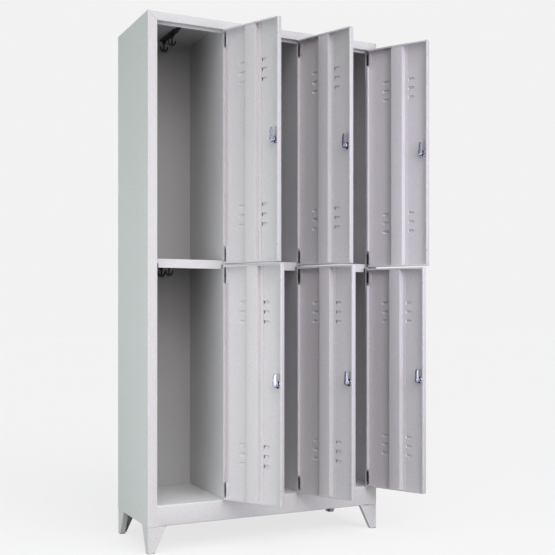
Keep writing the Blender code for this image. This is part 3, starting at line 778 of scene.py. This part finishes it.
# Hinges. Leaf, knuckle and pin in dark zinc plated steel, two to a door, coloured near black: partly the
# plating's own tone, partly painted shade of the hinge slots. The door's own leaf, with its two rolled
# eyes, is welded to the sheet where the flange is cut away.
EYE_R = 0.003
EYE_BORE_R = 0.0019
EYE_SLOT_HALF = 0.0085
EYE_SLOT_IN = 0.0045
EYE_SLOT_OUT = 0.006
EYE_END = 0.0215
EYE_SIDES = 24
DOOR_LEAF_WIDE = 0.013
DOOR_LEAF_THICK = 0.0015
DOOR_LEAF_EDGE = 0.0003
# Near-black zinc: partly the plating's own dark tone, partly painted shade of the hinge slots.
SHADE_DARKENED_ZINC = (0.07, 0.06, 0.08)


def metal(name, colour, rough_low, rough_high, tints=()):
    """Plated steel, a little uneven in its shine, with the tints of its passivate where it has one."""
    made, tree, shader, where = new_material(name)
    clouds = noise(tree, where, scale=160, detail=4.0)
    settings = {
        "Base Color": (*colour, 1),
        "Metallic": 1.0,
        "Roughness": ranged(tree, clouds, low=0.3, high=0.7, to_low=rough_low, to_high=rough_high),
        "Normal": bumps(tree, clouds, strength=0.08, distance=0.0002),
    }
    set_inputs(tree, shader, settings)
    if tints:
        film = noise(tree, where, scale=210, detail=1.0)
        set_inputs(tree, shader, {"Base Color": colour_ramp(tree, film, tints)})
    return made


def eye_slot(middle):
    """The gap between a door's two eyes, where the cabinet's knuckle stands."""
    low = (-EYE_SLOT_IN, -EYE_SLOT_OUT, middle - EYE_SLOT_HALF)
    return block(low, (EYE_SLOT_OUT, EYE_SLOT_IN, middle + EYE_SLOT_HALF))


def door_leaves():
    """The leaves of one door, coated with it."""
    leaves = []
    for middle in hinge_middles:
        low = (door_near - DOOR_LEAF_WIDE, SHEET + SEAM / 3, middle - EYE_END + SHEET)
        high = (-EYE_R, SHEET + DOOR_LEAF_THICK, middle + EYE_END - SHEET)
        leaves.append(cut(block(low, high, DOOR_LEAF_EDGE), eye_slot(middle)))
    return together(*leaves)


def door_eyes():
    """The rolled eyes of one door's hinges, bored for the pin."""
    eyes = []
    for middle in hinge_middles:
        low, high = middle - EYE_END, middle + EYE_END
        eye = disc((0, 0), EYE_R, low, high, EYE_SIDES, upright="Z")
        bore = disc((0, 0), EYE_BORE_R, low - SEAM, high + SEAM, EYE_SIDES, upright="Z")
        eyes.append(cut(eye, bore, eye_slot(middle)))
    return together(*eyes)


# The hinges and eyes take zinc coloured near black, partly painted shade of the hinge slots.
zinc = metal("zinc plate darkened with painted shade", SHADE_DARKENED_ZINC, rough_low=0.38, rough_high=0.56)
for node in hinge_nodes:
    wear(node, zinc)
leaf_mesh = door_leaves()
eye_mesh = door_eyes()
for body, place in door_places.items():
    set_piece(f"hinge_leaves_{body}", leaf_mesh, door_coat, body, place=place)
    set_piece(f"hinge_eyes_{body}", eye_mesh, zinc, body, place=place)


# Cam locks. A zinc plated barrel through the door, clamped by a nut inside, with a plug that carries
# the blue passivated cam on its inner end.
COLLAR_R = 0.011
COLLAR_THICK = 0.003
COLLAR_EDGE = 0.0008
BARREL_R = 0.009
BARREL_BORE_R = 0.0070
PLUG_R = 0.0065
PLUG_EDGE = 0.0004
BARREL_PROUD = 0.0015
BARREL_CHAMFER = 0.0005
NUT_R = 0.0130
NUT_THICK = 0.005
NUT_EDGE = 0.0005
CAM_CLEAR = 0.001
CAM_THICK = 0.002
CAM_REACH = 0.040
CAM_HALF = 0.006
CAM_NUT_R = 0.0055
CAM_NUT_THICK = 0.003
CAM_EDGE = 0.0004
KEYWAY_HALF_WIDE = 0.0007
KEYWAY_HALF_LONG = 0.004
KEYWAY_DEEP = 0.004
THREAD_PITCH = 0.0014
THREAD_DEEP = 0.0004
BARREL_SIDES = 36
BRIGHT_ZINC = (0.72, 0.74, 0.78)
BLUE_ZINC = (0.40, 0.40, 0.54)
BRIGHT_FILM = (
    (0.42, (0.03, 0.03, 0.07)),
    (0.48, (0.16, 0.17, 0.27)),
    (0.53, (0.50, 0.53, 0.66)),
    (0.59, (0.80, 0.83, 0.78)),
)
BLUE_FILM = ((0.34, (0.24, 0.25, 0.34)), (0.50, (0.38, 0.38, 0.52)), (0.66, (0.46, 0.47, 0.60)))


def threaded_barrel(end):
    """A bored barrel with its thread, turned from rings along the door's depth."""
    rows = []
    depth = -SEAM - COLLAR_THICK / 2
    while depth < end:
        rows += [(depth, BARREL_R), (depth + THREAD_PITCH / 2, BARREL_R - THREAD_DEEP)]
        depth += THREAD_PITCH
    rows += [(end, BARREL_R - BARREL_CHAMFER), (end, BARREL_BORE_R), (-COLLAR_THICK, BARREL_BORE_R)]
    angles = [2 * math.pi * step / BARREL_SIDES for step in range(BARREL_SIDES)]
    form = bmesh.new()
    rings = []
    for y, radius in rows:
        rings.append([form.verts.new((x, y, z)) for x, z in around((lock_x, 0), radius, angles)])
    for near, far in zip(rings, rings[1:] + rings[:1]):
        for step in range(BARREL_SIDES):
            after = (step + 1) % BARREL_SIDES
            form.faces.new((near[step], near[after], far[after], far[step]))
    return as_mesh(form)


def lock_body():
    centre = (lock_x, 0)
    nut_end = SHEET + SEAM + NUT_THICK
    collar = disc(centre, COLLAR_R, -SEAM - COLLAR_THICK, -SEAM, sides=40, edge=COLLAR_EDGE)
    nut = disc(centre, NUT_R, SHEET + SEAM, nut_end, sides=6, edge=NUT_EDGE)
    bore = disc(centre, BARREL_BORE_R, -2 * COLLAR_THICK, nut_end + SHEET, BARREL_SIDES)
    barrel = threaded_barrel(DOOR_THICK + BARREL_PROUD)
    return together(cut(collar, bore), cut(nut, bore), barrel)


def lock_cam():
    centre = (lock_x, 0)
    face = -SEAM - COLLAR_THICK
    front = DOOR_THICK + BARREL_PROUD + CAM_CLEAR
    plug = disc(centre, PLUG_R, face, front + CAM_THICK / 2, BARREL_SIDES, PLUG_EDGE)
    keyway = block(
        (lock_x - KEYWAY_HALF_WIDE, face - SHEET, -KEYWAY_HALF_LONG),
        (lock_x + KEYWAY_HALF_WIDE, face + KEYWAY_DEEP, KEYWAY_HALF_LONG),
    )
    tip = sweep((lock_x, CAM_REACH - CAM_HALF), CAM_HALF, 0, 180, steps=14)
    root = sweep(centre, PLUG_R + SHEET, 180, 360, steps=18)
    plate = slab(tip + root, front, front + CAM_THICK, "Y", CAM_EDGE)
    nut_top = front + CAM_THICK + CAM_NUT_THICK
    nut = disc(centre, CAM_NUT_R, front + CAM_THICK, nut_top, sides=6, edge=CAM_EDGE)
    return together(cut(plug, keyway), plate, nut)


bright_zinc = metal("bright zinc plate", BRIGHT_ZINC, rough_low=0.14, rough_high=0.26, tints=BRIGHT_FILM)
blue_zinc = metal("blue zinc plate", BLUE_ZINC, rough_low=0.30, rough_high=0.42, tints=BLUE_FILM)
body_mesh = lock_body()
cam_mesh = lock_cam()
for body, place in door_places.items():
    tier, _, column = body.split("_")
    label = f"{tier}_{column}"
    body_node, cam_node, cam_body = f"lock_body_{label}", f"lock_cam_{label}", f"{tier}_cam_{column}"
    set_piece(f"lock_barrel_{label}", body_mesh, bright_zinc, body, [body_node], place)
    set_piece(f"lock_plug_{label}", cam_mesh, blue_zinc, cam_body, [cam_node], place)


# Floor, light and camera. A pale studio with soft light from the front and from above, a wide low
# panel on the left and a small one on the right, a faint green light along the left side, and one from
# behind for the back. The camera stands at the photograph's place.
PAPER = (0.888, 0.888, 0.888)
PAPER_DULL = (0.20, 0.20, 0.20)
PAPER_GLOW = 0.824
FILL = (0.060, 0.060, 0.060)
FLOOR_HALF = 30
FLOOR_DROP = 0.0002


def seen_directly(tree):
    """1 for what the camera sees straight, off a gloss or through glass, and 0 for what lights things."""
    ray = add_node(tree, "LightPath").outputs
    seen = calculate(tree, "MAXIMUM", ray["Is Camera Ray"], ray["Is Glossy Ray"])
    return calculate(tree, "MAXIMUM", seen, ray["Is Transmission Ray"])


def put_lamp(name, kind, energy, colour, along, place=(0, 0, 0), **options):
    lamp = bpy.data.lights.new(name, kind)
    lamp.energy = energy
    lamp.color = colour
    for option, choice in options.items():
        setattr(lamp, option, choice)
    stand = bpy.data.objects.new(name, lamp)
    bpy.context.scene.collection.objects.link(stand)
    stand.location = place
    stand.rotation_euler = Vector(along).to_track_quat("-Z", "Y").to_euler()


form = bmesh.new()
bmesh.ops.create_grid(form, x_segments=1, y_segments=1, size=FLOOR_HALF)
floor_mesh = bpy.data.meshes.new("floor")
form.to_mesh(floor_mesh)
form.free()
floor = bpy.data.objects.new("floor", floor_mesh)
bpy.context.scene.collection.objects.link(floor)
floor.location.z = cad_box[0][2] - FLOOR_DROP
paper = bpy.data.materials.new("paper")
paper.use_nodes = True
tree = paper.node_tree
settings = {
    "Base Color": (*PAPER_DULL, 1),
    "Roughness": 0.9,
    "Specular IOR Level": 0.0,
    "Emission Color": (*PAPER, 1),
    "Emission Strength": calculate(tree, "MULTIPLY", seen_directly(tree), PAPER_GLOW),
}
set_inputs(tree, tree.nodes["Principled BSDF"], settings)
floor_mesh.materials.append(paper)

world = bpy.data.worlds.new("studio")
bpy.context.scene.world = world
world.use_nodes = True
tree = world.node_tree
sky = blend(tree, seen_directly(tree), (*FILL, 1), (*PAPER, 1))
set_inputs(tree, tree.nodes["Background"], {"Color": sky})

wide_sun, narrow_sun = math.radians(70), math.radians(40)
put_lamp(
    "front_light", "SUN", angle=wide_sun,
    energy=1.60, colour=(1.000, 0.890, 0.930), along=(0, 0.940, -0.342),
)
put_lamp(
    "top_light", "SUN", angle=wide_sun,
    energy=1.90, colour=(0.945, 1.000, 0.985), along=(0, 0.5, -0.866),
)
put_lamp(
    "side_light", "SUN", angle=narrow_sun,
    energy=0.31, colour=(0.270, 1.000, 0.640), along=(0.8, -0.6, -0.05),
)
put_lamp(
    "back_light", "SUN", angle=narrow_sun,
    energy=0.85, colour=(1.000, 0.880, 0.940), along=(-0.3, -1.0, -0.1),
)
put_lamp(
    "left_panel", "AREA", shape="RECTANGLE", size=2.4, size_y=1.1,
    energy=38.5, colour=(0.925, 0.965, 0.965), along=(2.4, 1.0, 0.2), place=(-2.4, -0.9, 0.6),
)
put_lamp(
    "right_panel", "AREA", shape="DISK", size=0.8,
    energy=6.4, colour=(0.830, 0.780, 1.000), along=(-0.2, 1.3, -0.3), place=(1.1, -1.3, 1.3),
)

camera_data = bpy.data.cameras.new("camera")
camera_data.lens = 60.739
camera_data.sensor_width = 36
camera_data.shift_y = 0.0658
camera = bpy.data.objects.new("camera", camera_data)
camera.location = (-1.0014, -3.0296, 0.808)
camera.rotation_euler = (math.radians(90), 0, math.radians(-26.02))
bpy.context.scene.collection.objects.link(camera)
bpy.context.scene.camera = camera
bpy.context.scene.view_settings.view_transform = "Standard"
